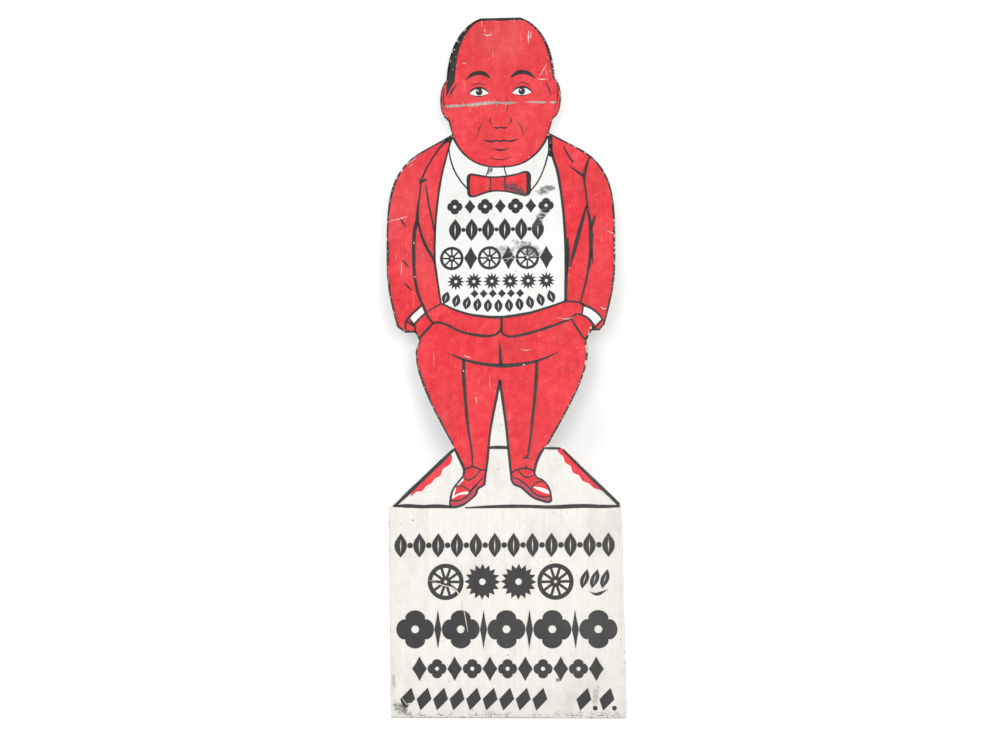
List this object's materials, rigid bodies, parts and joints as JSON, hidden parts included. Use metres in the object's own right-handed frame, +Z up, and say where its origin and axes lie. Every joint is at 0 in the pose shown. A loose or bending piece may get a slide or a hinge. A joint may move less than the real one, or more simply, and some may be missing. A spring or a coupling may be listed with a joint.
{
  "type": "tin advertising sign",
  "caption": "Die-cut tin figure sign on a pedestal panel, with a soldered spine and a folding tin easel leg held by a sliding stay at the back.",
  "frame": {"origin": "on the ground, under the middle of the sign's box", "axes": "+Z up, -Y the way the painted face looks, +X to the right as the face is seen"},
  "size_m": [0.235, 0.1992, 0.6772],
  "materials": {
    "painted_tin": "old gloss enamel in cream, red and black, chipped at the cut edges",
    "back_tin": "dull aged tinplate with solder tacks",
    "leg_tin": "dull aged tinplate",
    "pin_steel": "dark steel wire and rivets"
  },
  "bodies": {
    "sign": {"sign_sheet": "painted_tin", "spine": "back_tin", "arm_brace_left": "back_tin", "arm_brace_right": "back_tin", "panel_brace_left": "back_tin", "panel_brace_right": "back_tin", "hinge_bracket": "back_tin", "hinge_rivet_1": "pin_steel", "hinge_rivet_2": "pin_steel", "hinge_rivet_3": "pin_steel", "hinge_rivet_4": "pin_steel", "hinge_pin": "pin_steel", "hinge_washer_left": "pin_steel", "hinge_washer_right": "pin_steel", "stay_bracket": "back_tin", "stay_rivet_1": "pin_steel", "stay_rivet_2": "pin_steel", "stay_pin": "pin_steel"},
    "leg": {"easel_leg": "leg_tin"},
    "stay": {"easel_stay": "leg_tin", "slide_pin": "pin_steel", "slide_sleeve_left": "pin_steel", "slide_sleeve_right": "pin_steel"}
  },
  "joints": [
    {"name": "leg_fold", "type": "hinge", "parent": "sign", "child": "leg", "pos_m": [-0.00397, 0.00283, 0.41812], "axis": [-1, 0, 0], "range_deg": [0, 21.5]},
    {"name": "stay_fold", "type": "hinge", "parent": "sign", "child": "stay", "pos_m": [-0.00397, -0.02212, 0.30074], "axis": [-1, 0, 0], "range_deg": [0, 43]}
  ],
  "couplings": [
    {"joint": "stay_fold", "follows": "leg_fold", "ratio": 2}
  ]
}
